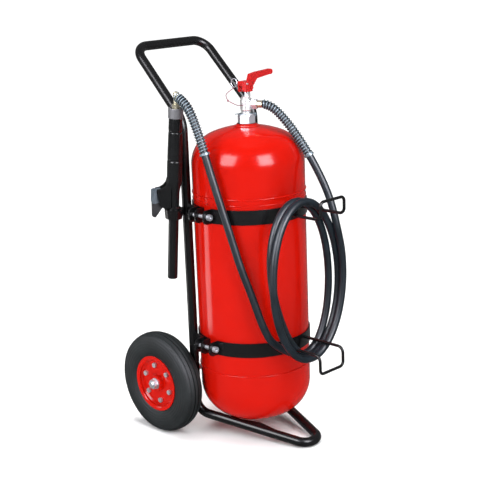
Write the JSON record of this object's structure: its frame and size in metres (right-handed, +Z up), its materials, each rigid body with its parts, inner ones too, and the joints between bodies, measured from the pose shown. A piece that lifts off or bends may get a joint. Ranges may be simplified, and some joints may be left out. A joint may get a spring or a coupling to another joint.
{
  "type": "wheeled fire extinguisher",
  "caption": "Wheeled fire extinguisher: red pressure vessel strapped to a two-wheeled tubular trolley, with a lever valve, coiled hose and a discharge gun in a side holder.",
  "frame": {"origin": "on the floor, on the vessel's axis", "axes": "+Z up along the vessel, -Y towards the hooks and the coiled hose, +X to the side the valve lever points to"},
  "size_m": [0.4582, 0.623, 1.0625],
  "materials": {
    "red_paint": "gloss",
    "black_paint": "gloss",
    "zinc_steel": "satin",
    "spring_steel": "satin",
    "nickel": "gloss",
    "brass": "satin",
    "tyre_rubber": "matt",
    "hose_rubber": "satin",
    "gasket_rubber": "matt",
    "black_plastic": "gloss",
    "grey_plastic": "matt",
    "trigger_plastic": "matt",
    "red_lever": "gloss",
    "red_cord": "matt",
    "plastic_tube": "matt",
    "agent_powder": "matt"
  },
  "bodies": {
    "root": {"tank_body": "red_paint", "tank_top_dome": "red_paint", "tank_bottom_dome": "red_paint", "tank_neck_ring": "red_paint", "handle_bow": "black_paint", "uprights": "black_paint", "foot_loop": "black_paint", "support_rails": "black_paint", "axle_brackets": "black_paint", "clamp_lugs": "black_paint", "front_bands": "black_paint", "rear_bands": "black_paint", "upper_hose_hook": "black_paint", "lower_hose_hook": "black_paint", "gun_holder": "black_paint", "axle": "zinc_steel", "axle_sleeves": "zinc_steel", "axle_nuts": "zinc_steel", "clamp_bolts": "zinc_steel", "clamp_nuts": "zinc_steel", "valve_collar_nut": "zinc_steel", "valve_outlet_nut": "zinc_steel", "valve_ferrule": "zinc_steel", "valve_hose_guard": "spring_steel", "valve_spring": "spring_steel", "valve_lock_plate": "spring_steel", "valve_body": "nickel", "valve_outlet_fitting": "brass", "hose_valve_run": "hose_rubber", "hose_coil": "hose_rubber", "hose_gun_run": "hose_rubber", "neck_gasket": "gasket_rubber", "lever_pin": "red_lever", "lanyard": "red_cord", "siphon_tube": "plastic_tube", "agent_charge": "agent_powder"},
    "left_wheel": {"left_tyre": "tyre_rubber", "left_rim_outer": "red_paint", "left_rim_inner": "red_paint", "left_rim_bolts": "zinc_steel", "left_bearings": "zinc_steel"},
    "right_wheel": {"right_tyre": "tyre_rubber", "right_rim_outer": "red_paint", "right_rim_inner": "red_paint", "right_rim_bolts": "zinc_steel", "right_bearings": "zinc_steel"},
    "valve_lever": {"valve_lever": "red_lever"},
    "valve_spindle": {"valve_spindle": "zinc_steel"},
    "safety_pin": {"safety_pin": "zinc_steel", "pull_ring": "zinc_steel"},
    "gun": {"gun_body": "black_plastic", "gun_barrel": "black_plastic", "gun_collar": "grey_plastic", "gun_inlet": "brass", "trigger_pin": "black_paint", "hose_gun_tail": "hose_rubber", "gun_hose_guard": "spring_steel", "gun_ferrule": "zinc_steel"},
    "gun_trigger": {"gun_trigger": "trigger_plastic"},
    "gun_stem": {"gun_stem": "zinc_steel"}
  },
  "joints": [
    {"name": "left_wheel_spin", "type": "hinge", "parent": "root", "child": "left_wheel", "pos_m": [-0.18, 0.188, 0.141], "axis": [1, 0, 0], "continuous": true},
    {"name": "right_wheel_spin", "type": "hinge", "parent": "root", "child": "right_wheel", "pos_m": [0.18, 0.188, 0.141], "axis": [1, 0, 0], "continuous": true},
    {"name": "lever_lift", "type": "hinge", "parent": "root", "child": "valve_lever", "pos_m": [0.009, 0, 0.945], "axis": [0, -1, 0], "range_deg": [0, 45], "deforming": ["lanyard", "valve_spring"]},
    {"name": "spindle_push", "type": "slide", "parent": "root", "child": "valve_spindle", "axis": [0, 0, -1], "range_m": [0, 0.01], "deforming": ["valve_spring"]},
    {"name": "safety_pin_pull", "type": "slide", "parent": "valve_lever", "child": "safety_pin", "axis": [0, 1, 0], "range_m": [0, 0.04], "deforming": ["lanyard"]},
    {"name": "gun_lift", "type": "slide", "parent": "root", "child": "gun", "axis": [0, -0.1056, 0.9944], "range_m": [0, 0.06]},
    {"name": "trigger_squeeze", "type": "hinge", "parent": "gun", "child": "gun_trigger", "pos_m": [-0.21325, 0.1153, 0.69537], "axis": [-0.4226, -0.9012, -0.0957], "range_deg": [0, 12], "stiffness_Nm_per_rad": 1},
    {"name": "stem_push", "type": "slide", "parent": "gun", "child": "gun_stem", "axis": [0.9063, -0.4203, -0.0446], "range_m": [0, 0.0055]}
  ],
  "couplings": [
    {"joint": "spindle_push", "follows": "lever_lift", "m_per_rad": 0.0125},
    {"joint": "stem_push", "follows": "trigger_squeeze", "m_per_rad": 0.0258}
  ]
}
